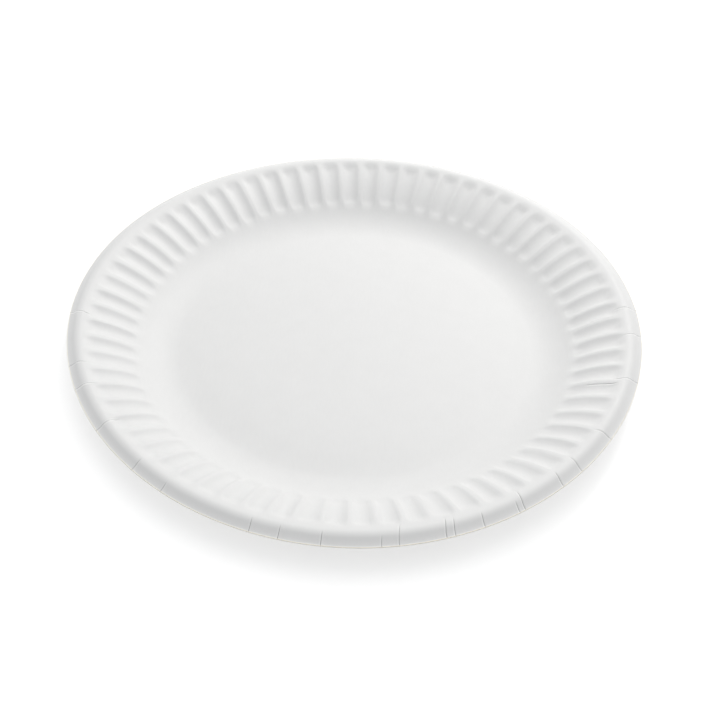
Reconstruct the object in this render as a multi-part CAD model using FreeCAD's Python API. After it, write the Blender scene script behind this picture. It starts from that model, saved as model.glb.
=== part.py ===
import FreeCAD, Part
import os
from math import cos, radians, sin, tan

os.makedirs("parts", exist_ok=True)

# Paper plate: one disc of board, pressed into a flat floor, a fluted wall and a turned-down rim.
# Lengths are in millimetres and angles in degrees. The plate stands on z = 0, with its axis on Z.

# Overall
plate_diameter = 230.0      # across the cut edge of the rim
plate_height = 16.0         # from the table to the top of the rim
board = 0.45                # thickness of the board

# Section, as seen on the upper surface
blend_radius = 18.0         # from the floor up into the wall
wall_angle = 29.0           # rise of the wall
crown_radius = 4.0          # over the top of the rim
lip_angle = 22.5            # fall of the turned-down lip
lip_length = 5.0            # straight part of the lip, out to its cut edge

# Flutes, pressed down into the wall
flute_count = 70
flute_depth = 1.3           # square to the wall
flute_length = 21.5         # up the slope of the wall
flute_margin = 0.3          # from the outer ends to the bend of the rim, up the slope
flute_outer_width = 5.6
flute_inner_width = 4.6
flute_corner = 1.3          # cut off the corners of the outline
flute_draft = 40.0          # lean of the flute's sides
flute_phase = 0.22          # turn of the first flute from +X


def straight(length):
    return {"length": length, "radius": 0.0, "turn": 0.0}


def bend(radius, turn):
    """A bend that runs on smoothly from the last leg. A turn above zero bends up."""
    return {"length": 0.0, "radius": radius, "turn": turn}


# The underside's line from the axis outwards. The bend into the wall is one board larger on
# the underside than on top, and the bend over the rim is one board smaller.
blend_under = blend_radius + board
crown_under = crown_radius - board

bends_rise = (blend_under + crown_under) * (1 - cos(radians(wall_angle)))
wall_length = (plate_height - board - bends_rise) / sin(radians(wall_angle))

edge_radius = plate_diameter / 2 - board * sin(radians(lip_angle))
lip_start = edge_radius - lip_length * cos(radians(lip_angle))
wall_end = lip_start - crown_under * (sin(radians(wall_angle)) + sin(radians(lip_angle)))
wall_start = wall_end - wall_length * cos(radians(wall_angle))
floor_radius = wall_start - blend_under * sin(radians(wall_angle))

legs = [
    straight(floor_radius),
    bend(blend_under, wall_angle),
    straight(wall_length),
    bend(crown_under, -(wall_angle + lip_angle)),
    straight(lip_length),
]


def step(point, heading, leg, share):
    """The place and heading after a share of one leg."""
    if leg["turn"] == 0:
        run = leg["length"] * share
        return (point[0] + run * cos(heading), point[1] + run * sin(heading)), heading
    side = 1 if leg["turn"] > 0 else -1
    after = heading + radians(leg["turn"]) * share
    run = side * leg["radius"] * (sin(after) - sin(heading))
    rise = side * leg["radius"] * (cos(heading) - cos(after))
    return (point[0] + run, point[1] + rise), after


def raised(point, heading, height):
    """A point of the section, lifted square off the underside."""
    return FreeCAD.Vector(point[0] - height * sin(heading), 0, point[1] + height * cos(heading))


def section_line(height):
    """The section's edges at one height in the board, from the axis to the cut edge."""
    edges = []
    point, heading = (0.0, 0.0), 0.0
    for leg in legs:
        middle, half_way = step(point, heading, leg, 0.5)
        end, after = step(point, heading, leg, 1.0)
        first = raised(point, heading, height)
        last = raised(end, after, height)
        if leg["turn"] == 0:
            edges.append(Part.LineSegment(first, last).toShape())
        else:
            edges.append(Part.Arc(first, raised(middle, half_way, height), last).toShape())
        point, heading = end, after
    return edges


def pressed_sheet():
    """The plain plate, turned from its section."""
    under = section_line(0.0)
    over = section_line(board)
    axis_line = Part.LineSegment(under[0].Vertexes[0].Point, over[0].Vertexes[0].Point).toShape()
    cut_edge = Part.LineSegment(under[-1].Vertexes[-1].Point, over[-1].Vertexes[-1].Point).toShape()
    outline = Part.Wire(Part.__sortEdges__([axis_line, cut_edge] + under + over))
    return Part.Face(outline).revolve(FreeCAD.Vector(0, 0, 0), FreeCAD.Vector(0, 0, 1), 360)


# A flute lies along the wall: along runs up the slope, across goes round the plate, and
# outward stands square on the wall. Its outlines are drawn from the middle of its outer end.
slope = radians(wall_angle)
along = FreeCAD.Vector(cos(slope), 0, sin(slope))
across = FreeCAD.Vector(0, 1, 0)
outward = FreeCAD.Vector(-sin(slope), 0, cos(slope))
wall_foot = FreeCAD.Vector(wall_start, 0, blend_under * (1 - cos(slope))) + outward * board
flute_tip = wall_foot + along * (wall_length - flute_margin)


def flute_corners(corner):
    """The corners of a flute's outline on the wall, as distances along and across, in order."""
    outer_half = flute_outer_width / 2
    inner_half = flute_inner_width / 2
    half = [
        (-flute_length, inner_half - corner),
        (-flute_length + corner, inner_half),
        (-corner, outer_half),
        (0, outer_half - corner),
    ]
    if corner == 0:
        half = [(-flute_length, inner_half), (0, outer_half)]
    mirrored = [(run, -side) for run, side in reversed(half)]
    return [FreeCAD.Vector(run, side, 0) for run, side in half + mirrored]


def moved_out(corners, spread):
    """The same outline with each of its sides moved out by spread."""
    moved = []
    for number, here in enumerate(corners):
        before = (here - corners[number - 1]).normalize()
        after = (corners[(number + 1) % len(corners)] - here).normalize()
        facing = FreeCAD.Vector(-before.y - after.y, before.x + after.x, 0)
        moved.append(here + facing * (spread / (1 + before.dot(after))))
    return moved


def flute_block(skin, low, high, corner):
    """A flute's tapered block between two heights, with its sides moved out by a skin."""
    outlines = []
    for height in (low, high):
        spread = height * tan(radians(flute_draft)) + skin / cos(radians(flute_draft))
        corners = moved_out(flute_corners(corner), spread)
        ring = [flute_tip + along * place.x + across * place.y + outward * height for place in corners]
        outlines.append(Part.makePolygon(ring + ring[:1]))
    return Part.makeLoft(outlines, True, True)


def round_the_plate(shape):
    copies = []
    for number in range(flute_count):
        turned = shape.copy()
        turn = flute_phase + number * 360 / flute_count
        turned.rotate(FreeCAD.Vector(0, 0, 0), FreeCAD.Vector(0, 0, 1), turn)
        copies.append(turned)
    return copies


def fluted_plate():
    """The board bulges below the wall where a flute is pressed into it."""
    sheet = pressed_sheet()
    seam_turn = flute_phase + 180 / flute_count
    sheet.rotate(FreeCAD.Vector(0, 0, 0), FreeCAD.Vector(0, 0, 1), seam_turn)
    bulge = flute_block(board, -flute_depth - board, -board / 2, 0)
    hollow = flute_block(0.0, -flute_depth, board, flute_corner)
    return sheet.fuse(round_the_plate(bulge)).cut(round_the_plate(hollow))


plate = fluted_plate()
plate.exportStep("parts/plate.step")
print("plate", round(plate.Volume), "mm3,", len(plate.Solids), "solid,", plate.BoundBox)
print("floor radius", round(floor_radius, 2), "wall", round(wall_start, 2), round(wall_end, 2))
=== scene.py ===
from math import cos, exp, pi, radians, sin

import bpy
from mathutils import Matrix, Vector


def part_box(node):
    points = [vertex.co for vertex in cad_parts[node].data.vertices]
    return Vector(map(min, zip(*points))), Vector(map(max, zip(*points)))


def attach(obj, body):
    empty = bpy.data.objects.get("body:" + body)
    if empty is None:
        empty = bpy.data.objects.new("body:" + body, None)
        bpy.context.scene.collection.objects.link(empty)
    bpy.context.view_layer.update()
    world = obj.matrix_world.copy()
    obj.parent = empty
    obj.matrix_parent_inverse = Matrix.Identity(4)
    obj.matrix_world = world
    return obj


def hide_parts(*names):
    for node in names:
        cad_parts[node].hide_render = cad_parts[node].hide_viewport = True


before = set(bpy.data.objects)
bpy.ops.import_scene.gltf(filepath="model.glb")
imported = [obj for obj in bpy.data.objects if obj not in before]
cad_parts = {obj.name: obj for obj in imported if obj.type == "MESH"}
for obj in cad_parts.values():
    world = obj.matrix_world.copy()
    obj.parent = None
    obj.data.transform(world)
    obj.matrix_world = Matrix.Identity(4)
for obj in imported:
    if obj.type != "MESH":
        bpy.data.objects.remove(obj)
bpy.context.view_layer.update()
mm = 0.001
plateLow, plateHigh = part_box("plate")
print("frame loaded, the plate is", round((plateHigh.x - plateLow.x) / mm, 1), "mm across")

# The board and its section, as seen on the upper face
sheet = {
    "radius": plateHigh.x,
    "height": plateHigh.z,
    "thickness": 0.45 * mm,
    "domeRise": 1.4 * mm,        # the floor stands a little proud of the ring that it rests on
    "domeFlatness": 4.5,         # the power of the radius by which it falls away
    "domeUnevenness": 3.0,       # how much sharper that is on one side
    "domeSharpSide": 235.0,
    "wallFoot": 88.0 * mm,       # radius where the wall is steepest
    "wallSteepest": 37.0,
    "wallTop": 14.0,             # slope where the wall runs into the bend of the rim
    "crownRadius": 3.8 * mm,     # over the top of the rim
    "lipSteepest": 38.0,
    "flareRadius": 11.0 * mm,    # the lip eases out again towards its cut edge
    "lipEnd": 26.0,
    "brimRadius": 1.7 * mm,      # the last millimetre turns out almost level
    "brimEnd": -2.0,
    "lobes": 3,                  # the rim is a little out of round
    "lobeSize": 0.88 * mm,
    "lobeTurn": 33.0,
}

# Rows of the mesh along the section, in order from the middle out
rows = {
    "floor": 2,
    "floorSide": 6,
    "blend": 8,
    "wall": 18,
    "crown": 8,
    "flare": 4,
    "brim": 3,
}

flutes = {
    "count": 70,
    "phase": 0.05,               # degrees from +X to the middle of the first flute
    "depth": 1.45 * mm,          # straight down
    "innerDepthShare": 0.75,
    "outerWidth": 8.3 * mm,
    "innerWidth": 6.8 * mm,
    "innerEnd": 87.6 * mm,       # radius
    "outerEnd": 107.6 * mm,
    "corner": 2.6 * mm,
    "innerStretch": 1.25,         # how much gentler the inner end is than the sides
    "outerStretch": 1.1,
    "edgeSoftness": 0.08,
    "roundness": 2.2,
    "shiftJitter": 0.16 * mm,
    "widthJitter": 0.05,
    "depthJitter": 0.12,
    "endJitter": 0.35 * mm,
    "outerJitterShare": 0.4,     # the outer ends stand in a truer line than the inner ones
    "seed": 7,
}

# Fold lines pressed into the rim: the angle of each from +X at the cut edge, how far round it
# leans on its way in, the radii between which it runs, and its strength. Most of them start at
# the cut edge.
folds = {
    "lines": [
        (3.2, 0.0, 95.5, 102.0, 1.3), (4.9, 0.3, 106.5, 120.0, 1.6),
        (180.4, 1.1, 106.9, 120.0, 2.0), (196.1, 0.6, 108.1, 120.0, 1.5),
        (202.8, 0.5, 106.4, 120.0, 1.9), (214.8, -0.2, 105.5, 120.0, 1.5),
        (227.0, 0.0, 109.8, 120.0, 1.1), (234.5, 0.2, 111.0, 120.0, 0.9),
        (252.7, -0.3, 109.8, 120.0, 0.9), (257.9, 0.1, 110.0, 120.0, 0.9),
        (265.3, 0.2, 109.8, 120.0, 1.0), (275.6, 0.6, 111.0, 120.0, 0.8),
        (278.6, 0.8, 107.5, 120.0, 0.8), (286.9, 1.1, 107.8, 120.0, 1.0),
        (288.5, 1.0, 108.5, 120.0, 1.0), (294.0, 0.7, 109.6, 120.0, 0.9),
        (301.1, 0.5, 110.6, 120.0, 0.9), (302.3, 0.8, 107.4, 120.0, 1.0),
        (311.4, 0.8, 108.9, 120.0, 0.9), (316.6, 0.5, 108.2, 120.0, 1.0),
        (326.8, -0.6, 107.7, 120.0, 1.0), (342.4, -1.2, 95.5, 108.0, 1.8),
        (343.4, -1.0, 105.0, 120.0, 1.7), (357.0, -0.8, 107.3, 120.0, 1.3),
    ],
    "depth": 0.32 * mm,
    "halfWidth": 0.22 * mm,
    "halo": 0.05 * mm,           # the board stands up a little on both sides of a fold
    "haloWidth": 0.8 * mm,
    "haloPaintedHighlight": 0.3,            # painted highlight: how much lighter the colour is made there, as a share of the fold's painted shade
    "clearance": 1.0 * mm,       # from a fold to the nearest column of the flutes
    "taper": 2.0 * mm,
    "leanWidth": 4.0 * mm,
    "leanFrom": 104.0 * mm,      # radius from which the lean goes back to nought at the rim
}

samplesPerFlute = 13
sampleCrowding = 0.5             # draws the samples towards the lands between the flutes


def straight(name, length):
    return {"rows": rows[name], "length": length, "radius": 0.0, "turn": 0.0}


def bend(name, radius, turn):
    return {"rows": rows[name], "length": 0.0, "radius": radius, "turn": turn}


# The legs of the board's middle line, from the axis to the cut edge. The chain is worked out from
# the cut edge inwards, and the blend at the wall's foot takes up what height is left.
def sectionLegs():
    half = sheet["thickness"] / 2
    foot = radians(sheet["wallSteepest"])
    top = radians(sheet["wallTop"])
    steepest = radians(sheet["lipSteepest"])
    lipEnd = radians(sheet["lipEnd"])
    brimEnd = radians(sheet["brimEnd"])
    crownRadius = sheet["crownRadius"] - half
    flareRadius = sheet["flareRadius"] + half
    brimRadius = sheet["brimRadius"] + half
    brimRun = brimRadius * (sin(lipEnd) - sin(brimEnd))
    lipRun = crownRadius * sin(steepest) + flareRadius * (sin(steepest) - sin(lipEnd))
    crestRadius = sheet["radius"] - half * sin(brimEnd) - brimRun - lipRun
    wallEnd = crestRadius - crownRadius * sin(top)
    wallStart = sheet["wallFoot"] + half * sin(foot)
    wallRadius = (wallEnd - wallStart) / (sin(foot) - sin(top))
    crestHeight = sheet["height"] - half
    footHeight = crestHeight - crownRadius * (1 - cos(top)) - wallRadius * (cos(top) - cos(foot))
    blendRadius = (footHeight - half) / (1 - cos(foot))
    floorRadius = wallStart - blendRadius * sin(foot)
    legs = [
        straight("floor", floorRadius * 0.5),
        straight("floorSide", floorRadius * 0.5),
        bend("blend", blendRadius, foot),
        bend("wall", wallRadius, top - foot),
        bend("crown", crownRadius, -top - steepest),
        bend("flare", flareRadius, steepest - lipEnd),
        bend("brim", brimRadius, lipEnd - brimEnd),
    ]
    return legs, {"floor": floorRadius, "crest": crestRadius, "footHeight": footHeight + half}


# Places and headings along the middle line, one for each row
def sectionPoints(legs):
    run, rise, heading = 0.0, sheet["thickness"] / 2, 0.0
    points = []
    for leg in legs:
        for number in range(leg["rows"]):
            share = (number + 1) / leg["rows"]
            if leg["radius"] == 0:
                points.append((run + leg["length"] * share * cos(heading),
                               rise + leg["length"] * share * sin(heading), heading))
            else:
                side = 1 if leg["turn"] > 0 else -1
                after = heading + leg["turn"] * share
                points.append((run + side * leg["radius"] * (sin(after) - sin(heading)),
                               rise + side * leg["radius"] * (cos(heading) - cos(after)), after))
        run, rise, heading = points[-1]
    return points


legs, rings = sectionLegs()
section = sectionPoints(legs)
print("section drawn, floor radius", round(rings["floor"] / mm, 2), "mm, crest radius",
      round(rings["crest"] / mm, 2), "mm, foot of the wall", round(rings["footHeight"] / mm, 2), "mm high")


def turnBetween(first, second):
    return (first - second + pi) % (2 * pi) - pi


# Where the mesh's columns stand: crowded at the sides of each flute, and close together at each fold
def columnAngles(foldAngles):
    pitch = 2 * pi / flutes["count"]
    columns = []
    for number in range(flutes["count"] * samplesPerFlute):
        turn = number / samplesPerFlute
        crowded = turn + sampleCrowding / (2 * pi) * sin(2 * pi * turn)
        angle = radians(flutes["phase"]) + crowded * pitch
        nearest = min(abs(turnBetween(angle, other)) for other in foldAngles)
        if nearest > folds["clearance"] / sheet["radius"]:
            columns.append({"angle": angle % (2 * pi), "fold": None, "place": None})
    halfWidth, haloWidth = folds["halfWidth"], folds["haloWidth"]
    places = [("end", -haloWidth), ("side", -halfWidth), ("bottom", 0.0),
              ("side", halfWidth), ("end", haloWidth)]
    for number, foldAngle in enumerate(foldAngles):
        for place, offset in places:
            angle = (foldAngle + offset / sheet["radius"]) % (2 * pi)
            columns.append({"angle": angle, "fold": number, "place": place})
    columns.sort(key=lambda column: column["angle"])
    return columns


def smooth(low, high, value):
    share = min(max((value - low) / (high - low), 0.0), 1.0)
    return share * share * (3 - 2 * share)


# How far a column sinks into its fold at one radius, and how much painted shade (at the fold's bottom) or
# painted highlight (at its sides) its colour gets there
def foldAt(column, radius):
    if column["place"] not in ("bottom", "side"):
        return 0.0, 0.0
    innerEnd, outerEnd, strength = folds["lines"][column["fold"]][2:]
    strength *= smooth(innerEnd * mm, innerEnd * mm + folds["taper"], radius)
    strength *= 1 - smooth(outerEnd * mm - folds["taper"], outerEnd * mm, radius)
    if column["place"] == "bottom":
        return folds["depth"] * strength, strength
    return -folds["halo"] * strength, -folds["haloPaintedHighlight"] * strength


# How far each column leans round the plate by the time that it reaches the top of the rim. The
# folds carry their neighbours with them.
def columnLeans(columns, foldAngles):
    leans = []
    for column in columns:
        gaps = [turnBetween(column["angle"], other) * sheet["radius"] for other in foldAngles]
        nearest = min(range(len(gaps)), key=lambda number: abs(gaps[number]))
        leaning = radians(folds["lines"][nearest][1])
        leans.append(leaning * exp(-(gaps[nearest] / folds["leanWidth"]) ** 2))
    return leans


# How far the floor stands proud at one place, a little unevenly
def domeHeight(run, angle):
    if run >= rings["floor"]:
        return 0.0
    power = sheet["domeFlatness"] + sheet["domeUnevenness"] * cos(angle - radians(sheet["domeSharpSide"]))
    return sheet["domeRise"] * (1 - (run / rings["floor"]) ** power)


# The points of the closed sheet, row by row over the top, round the cut edge and back underneath.
# The last two are the poles.
def blankPoints(columns, leans):
    half = sheet["thickness"] / 2
    points, paintedFoldShadingValues = [], []
    for lift, line in ((half, section), (-half, section[::-1])):
        for run, rise, heading in line:
            radius = run - lift * sin(heading)
            height = rise + lift * cos(heading)
            leanShare = 1 - smooth(folds["leanFrom"], sheet["radius"], radius)
            lobeShare = smooth(sheet["wallFoot"], sheet["radius"], radius)
            for column, lean in zip(columns, leans):
                sunk, paintedShading = foldAt(column, radius)
                drop = sunk - domeHeight(run, column["angle"])
                turn = column["angle"] + lean * leanShare
                lobe = cos(sheet["lobes"] * (turn - radians(sheet["lobeTurn"]))) * sheet["lobeSize"]
                out = radius + lobe * lobeShare
                points.append((out * cos(turn), out * sin(turn), height - drop))
                paintedFoldShadingValues.append(paintedShading)
    for poleHeight in (sheet["thickness"] + sheet["domeRise"], sheet["domeRise"]):
        points.append((0.0, 0.0, poleHeight))
        paintedFoldShadingValues.append(0.0)
    return points, paintedFoldShadingValues


# The finishes in the order in which the tree below sets them
finishNumbers = {"coated": 0, "bare": 1, "cut": 2}


# The faces between those points, with the finish of each. The outermost row of the top gets the light
# cream of the cut edge too, as a painted highlight along the brim.
def blankFaces(count):
    edgeRow = len(section) - 1
    lastRow = len(section) * 2 - 1
    topPole = (lastRow + 1) * count
    faces, finishes = [], []
    for number in range(count):
        faces.append((topPole, number, (number + 1) % count))
        finishes.append(finishNumbers["coated"])
    for row in range(lastRow):
        if row < edgeRow - 1:
            finish = finishNumbers["coated"]
        elif row <= edgeRow:
            finish = finishNumbers["cut"]
        else:
            finish = finishNumbers["bare"]
        first, second = row * count, (row + 1) * count
        for number in range(count):
            after = (number + 1) % count
            faces.append((first + number, second + number, second + after, first + after))
            finishes.append(finish)
    for number in range(count):
        faces.append((lastRow * count + (number + 1) % count, lastRow * count + number, topPole + 1))
        finishes.append(finishNumbers["bare"])
    return faces, finishes


# The plain pressed plate as a closed sheet, with its rim folds, before the flutes
def makeBlank():
    foldAngles = [radians(line[0]) for line in folds["lines"]]
    columns = columnAngles(foldAngles)
    count = len(columns)
    points, paintedFoldShadingValues = blankPoints(columns, columnLeans(columns, foldAngles))
    faces, finishes = blankFaces(count)
    mesh = bpy.data.meshes.new("plate_blank")
    mesh.from_pydata(points, [], faces)
    # Painted fold shading goes on the points: painted shade at the bottom of each fold, painted highlight
    # beside it
    mesh.attributes.new("paintedFoldShading", "FLOAT", "POINT").data.foreach_set("value", paintedFoldShadingValues)
    mesh.attributes.new("finish", "INT", "FACE").data.foreach_set("value", finishes)
    sharp = mesh.attributes.new("sharp_edge", "BOOLEAN", "EDGE")
    cutRows = (len(section) - 1, len(section))
    for edge in mesh.edges:
        firstRow, secondRow = edge.vertices[0] // count, edge.vertices[1] // count
        if firstRow == secondRow and firstRow in cutRows:
            sharp.data[edge.index].value = True
    for polygon in mesh.polygons:
        polygon.use_smooth = True
    print("blank made,", count, "columns,", len(section), "rows a side,", len(faces), "faces")
    return mesh


# Short calls for the nodes of one tree
class Nodes:

    def __init__(self, tree):
        self.nodes = tree.nodes
        self.links = tree.links

    def node(self, kind, **settings):
        made = self.nodes.new(kind)
        for key, value in settings.items():
            setattr(made, key, value)
        return made

    def put(self, socket, value):
        if isinstance(value, bpy.types.NodeSocket):
            self.links.new(value, socket)
        else:
            socket.default_value = value

    def math(self, operation, *values):
        made = self.node("ShaderNodeMath", operation=operation)
        for number, value in enumerate(values):
            self.put(made.inputs[number], value)
        return made.outputs[0]

    def add(self, first, second):
        return self.math("ADD", first, second)

    def minus(self, first, second):
        return self.math("SUBTRACT", first, second)

    def times(self, first, second):
        return self.math("MULTIPLY", first, second)

    def over(self, first, second):
        return self.math("DIVIDE", first, second)

    def mapped(self, value, fromLow, fromHigh, toLow, toHigh):
        made = self.node("ShaderNodeMapRange")
        for number, entry in enumerate((value, fromLow, fromHigh, toLow, toHigh)):
            self.put(made.inputs[number], entry)
        return made.outputs[0]


# A geometry tree. A whole number that it is given becomes a whole-number input.
class Tree(Nodes):

    def __init__(self, name, inputs):
        self.group = bpy.data.node_groups.new(name, "GeometryNodeTree")
        super().__init__(self.group)
        sockets = self.group.interface
        sockets.new_socket("Geometry", in_out="INPUT", socket_type="NodeSocketGeometry")
        sockets.new_socket("Geometry", in_out="OUTPUT", socket_type="NodeSocketGeometry")
        self.identifiers = {}
        for key, value in inputs.items():
            kind = "NodeSocketInt" if isinstance(value, int) else "NodeSocketFloat"
            self.identifiers[key] = sockets.new_socket(key, in_out="INPUT", socket_type=kind).identifier

    def randomFor(self, key, seed, step):
        made = self.node("FunctionNodeRandomValue", data_type="FLOAT")
        lowest, highest = [socket for socket in made.inputs if socket.type == "VALUE"][:2]
        lowest.default_value = -1.0
        highest.default_value = 1.0
        self.put(made.inputs["ID"], key)
        self.put(made.inputs["Seed"], self.add(seed, step))
        return [socket for socket in made.outputs if socket.type == "VALUE"][0]


fluteInputs = {
    "Phase": radians(flutes["phase"]),
    "Depth": flutes["depth"],
    "Inner depth share": flutes["innerDepthShare"],
    "Outer width": flutes["outerWidth"],
    "Inner width": flutes["innerWidth"],
    "Inner end": flutes["innerEnd"],
    "Outer end": flutes["outerEnd"],
    "Corner": flutes["corner"],
    "Inner stretch": flutes["innerStretch"],
    "Outer stretch": flutes["outerStretch"],
    "Edge softness": flutes["edgeSoftness"],
    "Roundness": flutes["roundness"],
    "Shift jitter": flutes["shiftJitter"],
    "Width jitter": flutes["widthJitter"],
    "Depth jitter": flutes["depthJitter"],
    "End jitter": flutes["endJitter"],
    "Flutes": flutes["count"],
    "Seed": flutes["seed"],
}


# Presses the flutes into the wall: a rounded recess for each, with small differences between them
def fluteTree(finishes):
    tree = Tree("pressFlutes", fluteInputs)
    given = tree.node("NodeGroupInput").outputs
    # Which flute is nearest
    place = tree.node("ShaderNodeSeparateXYZ")
    tree.put(place.inputs[0], tree.node("GeometryNodeInputPosition").outputs[0])
    x, y = place.outputs[0], place.outputs[1]
    radius = tree.math("SQRT", tree.add(tree.times(x, x), tree.times(y, y)))
    turn = tree.minus(tree.math("ARCTAN2", y, x), given["Phase"])
    pitch = tree.over(2 * pi, given["Flutes"])
    along = tree.over(turn, pitch)
    nearest = tree.math("ROUND", along)
    key = tree.math("FLOORED_MODULO", tree.add(nearest, 0.5), given["Flutes"])
    # How that one differs from the others
    shift = tree.times(tree.randomFor(key, given["Seed"], 1), given["Shift jitter"])
    wider = tree.add(1.0, tree.times(tree.randomFor(key, given["Seed"], 2), given["Width jitter"]))
    deeper = tree.add(1.0, tree.times(tree.randomFor(key, given["Seed"], 3), given["Depth jitter"]))
    outerJitter = tree.times(given["End jitter"], flutes["outerJitterShare"])
    outerShift = tree.times(tree.randomFor(key, given["Seed"], 4), outerJitter)
    innerShift = tree.times(tree.randomFor(key, given["Seed"], 5), given["End jitter"])
    outerEnd = tree.add(given["Outer end"], outerShift)
    innerEnd = tree.add(given["Inner end"], innerShift)
    # How far this point lies inside its outline, a rounded and tapered box
    fromMiddle = tree.times(tree.times(tree.minus(along, nearest), pitch), radius)
    sideways = tree.math("ABSOLUTE", tree.add(fromMiddle, shift))
    bothEnds = given["Inner end"], given["Outer end"]
    width = tree.mapped(radius, *bothEnds, given["Inner width"], given["Outer width"])
    halfWidth = tree.times(tree.times(width, 0.5), wider)
    corner = given["Corner"]
    pastSide = tree.minus(sideways, tree.minus(halfWidth, corner))
    pastOuter = tree.add(tree.over(tree.minus(radius, outerEnd), given["Outer stretch"]), corner)
    pastInner = tree.add(tree.over(tree.minus(innerEnd, radius), given["Inner stretch"]), corner)
    pastEnd = tree.math("MAXIMUM", pastOuter, pastInner)
    sideOut = tree.math("MAXIMUM", pastSide, 0.0)
    endOut = tree.math("MAXIMUM", pastEnd, 0.0)
    rounded = tree.math("SQRT", tree.add(tree.times(sideOut, sideOut), tree.times(endOut, endOut)))
    within = tree.math("MINIMUM", tree.math("MAXIMUM", pastSide, pastEnd), 0.0)
    distance = tree.minus(tree.add(rounded, within), corner)
    inside = tree.mapped(tree.over(tree.times(distance, -1.0), halfWidth), 0.0, 1.0, 0.0, 1.0)
    # The form of the recess, and its depth there
    eased = tree.over(tree.times(inside, inside), tree.add(inside, given["Edge softness"]))
    hollow = tree.minus(1.0, tree.math("POWER", tree.minus(1.0, eased), given["Roundness"]))
    fade = tree.mapped(radius, *bothEnds, given["Inner depth share"], 1.0)
    drop = tree.times(tree.times(tree.times(hollow, fade), deeper), given["Depth"])
    offset = tree.node("ShaderNodeCombineXYZ")
    tree.put(offset.inputs[2], tree.times(drop, -1.0))
    press = tree.node("GeometryNodeSetPosition")
    tree.put(press.inputs["Geometry"], given["Geometry"])
    tree.put(press.inputs["Offset"], offset.outputs[0])
    realize = tree.node("GeometryNodeRealizeInstances")
    tree.put(realize.inputs[0], press.outputs[0])
    flow = realize.outputs[0]
    # The finishes, each over the one before
    finish = tree.node("GeometryNodeInputNamedAttribute", data_type="INT")
    finish.inputs["Name"].default_value = "finish"
    for number, material in enumerate(finishes):
        chosen = tree.node("FunctionNodeCompare", data_type="INT", operation="GREATER_EQUAL")
        whole = [socket for socket in chosen.inputs if socket.type == "INT"]
        tree.put(whole[0], finish.outputs[0])
        whole[1].default_value = number
        painted = tree.node("GeometryNodeSetMaterial")
        painted.inputs["Material"].default_value = material
        tree.put(painted.inputs["Selection"], chosen.outputs[0])
        tree.put(painted.inputs["Geometry"], flow)
        flow = painted.outputs[0]
    tree.put(tree.node("NodeGroupOutput").inputs[0], flow)
    return tree


noiseRange = 0.3, 0.7            # a noise seldom goes past these


# A material, with the textures that the finishes share
class Finish(Nodes):

    def __init__(self, name):
        self.material = bpy.data.materials.new(name)
        self.material.use_nodes = True
        super().__init__(self.material.node_tree)
        self.shader = self.nodes["Principled BSDF"]

    def noise(self, size, detail, stretch=(1, 1, 1)):
        mapping = self.node("ShaderNodeMapping")
        self.put(mapping.inputs["Vector"], self.node("ShaderNodeTexCoord").outputs["Object"])
        mapping.inputs["Scale"].default_value = stretch
        made = self.node("ShaderNodeTexNoise")
        self.put(made.inputs["Vector"], mapping.outputs[0])
        made.inputs["Scale"].default_value = 1 / size
        made.inputs["Detail"].default_value = detail
        return made.outputs["Fac"]

    def spread(self, value, span):
        return self.mapped(value, *noiseRange, *span)

    def tint(self, colour, factor):
        made = self.node("ShaderNodeMix", data_type="RGBA", blend_type="MULTIPLY")
        made.inputs["Factor"].default_value = 1.0
        first, second = [socket for socket in made.inputs if socket.type == "RGBA"][:2]
        self.put(first, colour)
        self.put(second, factor)
        tinted = [socket for socket in made.outputs if socket.type == "RGBA"][0]
        self.put(self.shader.inputs["Base Color"], tinted)

    def bump(self, height, strength, distance):
        made = self.node("ShaderNodeBump")
        made.inputs["Strength"].default_value = strength
        made.inputs["Distance"].default_value = distance
        self.put(made.inputs["Height"], height)
        self.put(self.shader.inputs["Normal"], made.outputs[0])


# The upper face: a thin smooth coating over pulp that still shows a faint cloudy make-up
coated = {
    "colour": (0.845, 0.845, 0.84, 1.0),
    "cloudSize": 9 * mm,
    "cloudDetail": 3.0,
    "cloudShade": (0.992, 1.006),
    "toothSize": 0.35 * mm,
    "toothDetail": 4.0,
    "fibreSize": 0.9 * mm,
    "fibreDetail": 3.0,
    "fibreStretch": (1.0, 0.22, 1.0),
    "fibreShade": (0.99, 1.006),
    "fibreRise": 1.5,            # as a share of the tooth
    "foldPaintedShade": 0.5,            # painted shade: how much darker the colour is made at the bottom of a fold
    "roughness": (0.5, 0.62),
    "refraction": 1.45,
    "bumpStrength": 0.25,
    "bumpHeight": 0.02 * mm,
}


def coatedFace():
    finish = Finish("coated_board")
    clouds = finish.noise(coated["cloudSize"], coated["cloudDetail"])
    tooth = finish.noise(coated["toothSize"], coated["toothDetail"])
    fibres = finish.noise(coated["fibreSize"], coated["fibreDetail"], coated["fibreStretch"])
    cloudShade = finish.spread(clouds, coated["cloudShade"])
    shade = finish.times(cloudShade, finish.spread(fibres, coated["fibreShade"]))
    # Painted shade darkens the colour at the bottom of each fold, and painted highlight lightens it along
    # both sides
    paintedShading = finish.node("ShaderNodeAttribute", attribute_name="paintedFoldShading")
    paintedCreaseShading = finish.times(paintedShading.outputs["Fac"], coated["foldPaintedShade"])
    finish.tint(coated["colour"], finish.times(shade, finish.minus(1.0, paintedCreaseShading)))
    finish.put(finish.shader.inputs["Roughness"], finish.spread(fibres, coated["roughness"]))
    finish.shader.inputs["IOR"].default_value = coated["refraction"]
    height = finish.add(tooth, finish.times(fibres, coated["fibreRise"]))
    finish.bump(height, coated["bumpStrength"], coated["bumpHeight"])
    return finish.material


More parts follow.
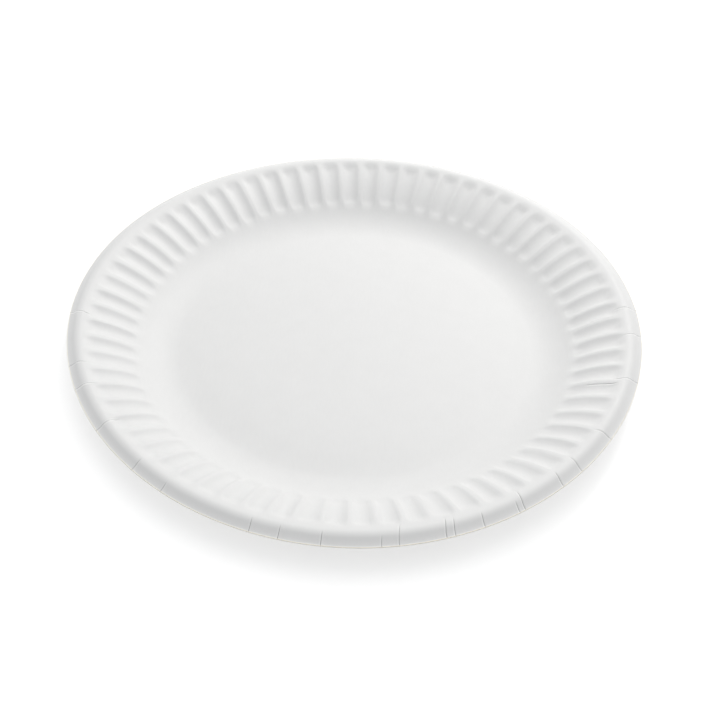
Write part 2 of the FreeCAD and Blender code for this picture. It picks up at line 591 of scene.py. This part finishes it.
# The underside: bare pulp, rougher and a little warmer, with visible fibres
bare = {
    "colour": (0.80, 0.79, 0.765, 1.0),
    "fibreSize": 0.8 * mm,
    "fibreDetail": 5.0,
    "fibreStretch": (1.0, 0.2, 1.0),
    "fibreShade": (0.97, 1.01),
    "fleckSize": 2.2 * mm,
    "fleckDetail": 4.0,
    "fleckShade": (0.985, 1.01),
    "roughness": (0.82, 0.95),
    "bumpStrength": 0.5,
    "bumpHeight": 0.04 * mm,
}


def bareUnderside():
    finish = Finish("bare_board")
    fibres = finish.noise(bare["fibreSize"], bare["fibreDetail"], bare["fibreStretch"])
    flecks = finish.noise(bare["fleckSize"], bare["fleckDetail"])
    fibreShade = finish.spread(fibres, bare["fibreShade"])
    finish.tint(bare["colour"], finish.times(fibreShade, finish.spread(flecks, bare["fleckShade"])))
    finish.put(finish.shader.inputs["Roughness"], finish.spread(flecks, bare["roughness"]))
    finish.bump(finish.add(fibres, flecks), bare["bumpStrength"], bare["bumpHeight"])
    return finish.material


# The die-cut edge, where the layers of pulp show. Its cream is partly the board's own colour and partly a
# painted highlight, lighter than the coated face
cut = {
    # partly the edge's own cream, partly painted highlight: lighter than the coated face
    "colour": (0.97, 0.94, 0.85, 1.0),
    "layerSize": 0.25 * mm,
    "layerDetail": 3.0,
    "layerStretch": (0.15, 0.15, 1.0),
    "layerShade": (0.94, 1.02),
    "roughness": 0.9,
    "bumpStrength": 0.4,
    "bumpHeight": 0.03 * mm,
}


def cutEdgeWithPaintedHighlight():
    finish = Finish("cut_edge_with_painted_highlight")
    layers = finish.noise(cut["layerSize"], cut["layerDetail"], cut["layerStretch"])
    finish.tint(cut["colour"], finish.spread(layers, cut["layerShade"]))
    finish.shader.inputs["Roughness"].default_value = cut["roughness"]
    finish.bump(layers, cut["bumpStrength"], cut["bumpHeight"])
    return finish.material


def pressedPlate():
    blank = bpy.data.objects.new("plate_blank", makeBlank())
    bpy.context.scene.collection.objects.link(blank)
    tree = fluteTree([coatedFace(), bareUnderside(), cutEdgeWithPaintedHighlight()])
    press = blank.modifiers.new("pressFlutes", "NODES")
    press.node_group = tree.group
    for name, value in fluteInputs.items():
        press[tree.identifiers[name]] = value
    bpy.context.view_layer.update()
    pressed = blank.evaluated_get(bpy.context.evaluated_depsgraph_get())
    mesh = bpy.data.meshes.new_from_object(pressed)
    mesh.name = "pressed_plate"
    plate = bpy.data.objects.new("pressed_plate", mesh)
    bpy.context.scene.collection.objects.link(plate)
    blank.modifiers.clear()
    bpy.data.objects.remove(blank)
    materials = [material.name for material in mesh.materials]
    print("flutes pressed,", len(mesh.polygons), "faces, materials", materials)
    return plate


plate = pressedPlate()
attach(plate, "root")
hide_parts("plate")

studio = {
    "floorSize": 6.0,
    "floorGap": 0.02 * mm,
    "floorColour": (0.93, 0.93, 0.93, 1.0),
    "floorRoughness": 0.9,
    "floorLift": 0.49,           # what the floor adds for the camera alone, so that it reads as white
    "liftColour": (1.0, 1.0, 1.0, 1.0),
    "ambient": 0.53,
    "backdrop": 1.03,            # the same for the camera, which sees it as the white background
    "ambientColour": (0.975, 0.987, 1.0, 1.0),
    "lampColour": (1.0, 0.985, 0.965),
}

# The key lamp models the flutes from the far side, and the wide one above softens its shadows
lamps = [
    {"name": "key_lamp", "azimuth": 68.0, "elevation": 42.0, "distance": 0.9, "size": 0.4, "power": 3.3},
    {"name": "top_lamp", "azimuth": 67.0, "elevation": 80.0, "distance": 1.0, "size": 1.0, "power": 1.8},
]


# One for what the camera sees, straight or by a gloss or through glass, and nought for other light
def cameraShare(nodes):
    path = nodes.node("ShaderNodeLightPath").outputs
    straightOrGloss = nodes.math("MAXIMUM", path["Is Camera Ray"], path["Is Glossy Ray"])
    return nodes.math("MAXIMUM", straightOrGloss, path["Is Transmission Ray"])


def makeFloor():
    half = studio["floorSize"] / 2
    mesh = bpy.data.meshes.new("studio_floor")
    level = plateLow.z - studio["floorGap"]
    corners = [(-half, -half, level), (half, -half, level), (half, half, level), (-half, half, level)]
    mesh.from_pydata(corners, [], [(0, 1, 2, 3)])
    floor = bpy.data.objects.new("studio_floor", mesh)
    bpy.context.scene.collection.objects.link(floor)
    finish = Finish("studio_floor")
    shader = finish.shader
    shader.inputs["Base Color"].default_value = studio["floorColour"]
    shader.inputs["Roughness"].default_value = studio["floorRoughness"]
    shader.inputs["Specular IOR Level"].default_value = 0.0
    shader.inputs["Emission Color"].default_value = studio["liftColour"]
    finish.put(shader.inputs["Emission Strength"], finish.times(cameraShare(finish), studio["floorLift"]))
    mesh.materials.append(finish.material)


def makeWorld():
    world = bpy.data.worlds.new("studio")
    world.use_nodes = True
    nodes = Nodes(world.node_tree)
    background = nodes.nodes["Background"]
    background.inputs["Color"].default_value = studio["ambientColour"]
    strength = nodes.mapped(cameraShare(nodes), 0.0, 1.0, studio["ambient"], studio["backdrop"])
    nodes.put(background.inputs["Strength"], strength)
    bpy.context.scene.world = world


def makeLamp(given):
    azimuth, elevation = radians(given["azimuth"]), radians(given["elevation"])
    towards = Vector((cos(azimuth) * cos(elevation), sin(azimuth) * cos(elevation), sin(elevation)))
    data = bpy.data.lights.new(given["name"], "AREA")
    data.shape = "DISK"
    data.size = given["size"]
    data.energy = given["power"]
    data.color = studio["lampColour"]
    lamp = bpy.data.objects.new(given["name"], data)
    lamp.location = towards * given["distance"]
    lamp.rotation_euler = towards.to_track_quat("Z", "Y").to_euler()
    bpy.context.scene.collection.objects.link(lamp)


lens = {
    "elevation": 43.4,
    "roll": 1.55,
    "distance": 524.48 * mm,
    "sideways": -2.07 * mm,      # the plate's place in the picture
    "upwards": 6.28 * mm,
    "length": 63.83,             # millimetres of focal length, on a sensor of 36
    "sensor": 36.0,
    "nearest": 0.01,
    "farthest": 50.0,
}


def makeCamera():
    elevation, roll = radians(lens["elevation"]), radians(lens["roll"])
    back = Vector((0, -cos(elevation), sin(elevation)))
    level = Vector((0, 0, 1)).cross(back).normalized()
    above = back.cross(level)
    right = level * cos(roll) + above * sin(roll)
    up = above * cos(roll) - level * sin(roll)
    data = bpy.data.cameras.new("camera")
    data.sensor_width = lens["sensor"]
    data.lens = lens["length"]
    data.clip_start, data.clip_end = lens["nearest"], lens["farthest"]
    camera = bpy.data.objects.new("camera", data)
    turned = Matrix((right, up, back)).transposed().to_4x4()
    turned.translation = back * lens["distance"] - right * lens["sideways"] - up * lens["upwards"]
    camera.matrix_world = turned
    bpy.context.scene.collection.objects.link(camera)
    bpy.context.scene.camera = camera


makeFloor()
makeWorld()
for given in lamps:
    makeLamp(given)
makeCamera()
bpy.context.scene.view_settings.view_transform = "Standard"
print("studio ready")
